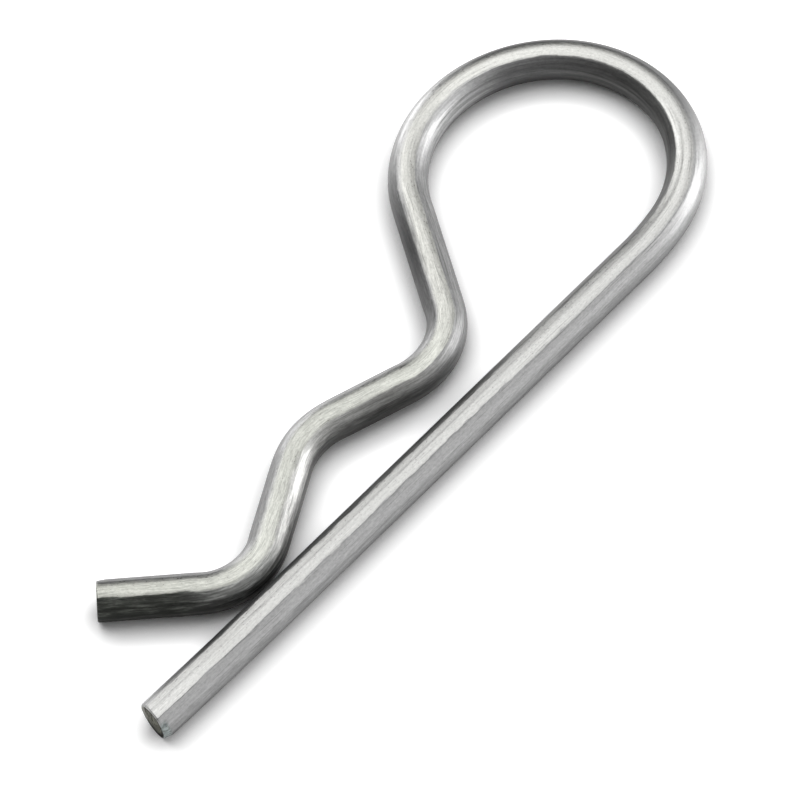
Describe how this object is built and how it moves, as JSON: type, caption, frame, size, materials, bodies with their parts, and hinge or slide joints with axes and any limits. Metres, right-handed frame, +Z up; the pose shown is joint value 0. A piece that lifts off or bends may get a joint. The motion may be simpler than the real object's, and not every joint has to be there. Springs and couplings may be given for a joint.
{
  "type": "hitch r clip pin",
  "caption": "Round spring-wire clip: a straight leg for a shaft's cross hole, a round finger eye, and a wavy leg with a crest that snaps over the shaft and a flared tip.",
  "frame": {"origin": "centre of the clip's outline on the surface it lies on", "axes": "+X along the straight leg, from its free end towards the eye; +Y from the straight leg towards the wavy leg; +Z up, across the flat of the clip"},
  "size_m": [0.0954, 0.0352, 0.0045],
  "materials": {
    "zinc_plated_wire": "bright zinc plating on drawn spring wire, with fine drawing lines along the wire"
  },
  "bodies": {
    "root": {"clip": "zinc_plated_wire"}
  },
  "joints": []
}
